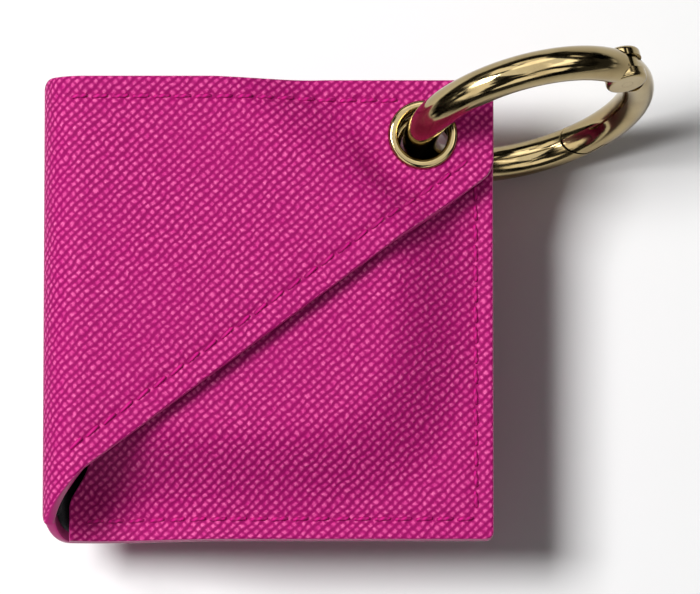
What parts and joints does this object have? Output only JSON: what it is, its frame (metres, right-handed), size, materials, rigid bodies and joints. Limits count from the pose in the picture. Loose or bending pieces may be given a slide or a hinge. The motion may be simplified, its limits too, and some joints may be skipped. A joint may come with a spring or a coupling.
{
  "type": "tracker tag holder",
  "caption": "Folded leather pouch whose slanted flap covers a pocket for a round tracker tag, held shut by a sprung gate ring through its eyelets.",
  "frame": {"origin": "centre of the back's flat rest face, under the tag", "axes": "+X to the sewn end with the ring, +Y to the edge with the eyelets, +Z out of the front; the pouch lies on its back, shut"},
  "size_m": [0.0653, 0.0522, 0.0269],
  "materials": {
    "hide": "cross-hatch embossed, satin",
    "lining": "brushed felt",
    "antique_gold": "polished pale gold plating",
    "steel": "satin",
    "white_plastic": "gloss",
    "dark_plastic": "matte",
    "board": "matte",
    "copper": "bare"
  },
  "bodies": {
    "pouch": {"back_leather": "hide", "back_lining": "lining", "pocket_front": "hide", "pocket_eyelet": "antique_gold", "pocket_eyelet_washer": "antique_gold"},
    "spine": {"fold_leather": "hide", "fold_lining": "lining"},
    "flap": {"flap_leather": "hide", "flap_lining": "lining", "flap_eyelet": "antique_gold", "flap_eyelet_washer": "antique_gold"},
    "ring": {"ring_body": "antique_gold", "gate_pin": "antique_gold", "gate_plunger": "steel", "gate_spring": "steel"},
    "gate": {"ring_gate": "antique_gold"},
    "tag": {"tag_shell": "white_plastic", "tag_inner_frame": "dark_plastic", "tag_board": "board", "tag_speaker_magnet": "steel", "tag_speaker_coil": "copper", "tag_battery_contacts": "copper", "tag_coin_cell": "steel"},
    "door": {"tag_battery_door": "steel"}
  },
  "joints": [
    {"name": "spine_fold", "type": "hinge", "parent": "pouch", "child": "spine", "pos_m": [-0.02303, 0, 0.00097], "axis": [0, -1, 0], "range_deg": [0, 90], "deforming": ["fold_leather", "fold_lining"]},
    {"name": "flap_fold", "type": "hinge", "parent": "spine", "child": "flap", "pos_m": [-0.02303, 0, 0.01258], "axis": [0, -1, 0], "range_deg": [0, 90]},
    {"name": "tag_slide", "type": "slide", "parent": "pouch", "child": "tag", "axis": [-1, 0, 0], "range_m": [0, 0.024]},
    {"name": "ring_spin", "type": "hinge", "parent": "pouch", "child": "ring", "pos_m": [0.02782, 0.02109, 0.00735], "axis": [0.25, -0.933, 0.2588], "range_deg": [-10, 100]},
    {"name": "gate_swing", "type": "hinge", "parent": "ring", "child": "gate", "pos_m": [0.03772, 0.02525, 0.01281], "axis": [-0.25, 0.933, -0.2588], "range_deg": [0, 30], "stiffness_Nm_per_rad": 0.02, "springref_deg": -17.19},
    {"name": "battery_door_twist", "type": "hinge", "parent": "tag", "child": "door", "pos_m": [0, 0, 0.003], "axis": [0, 0, 1], "range_deg": [0, 20]}
  ],
  "couplings": [
    {"joint": "flap_fold", "follows": "spine_fold", "ratio": 1},
    {"joint": "tag_slide", "follows": "spine_fold", "m_per_rad": 0.015279}
  ]
}
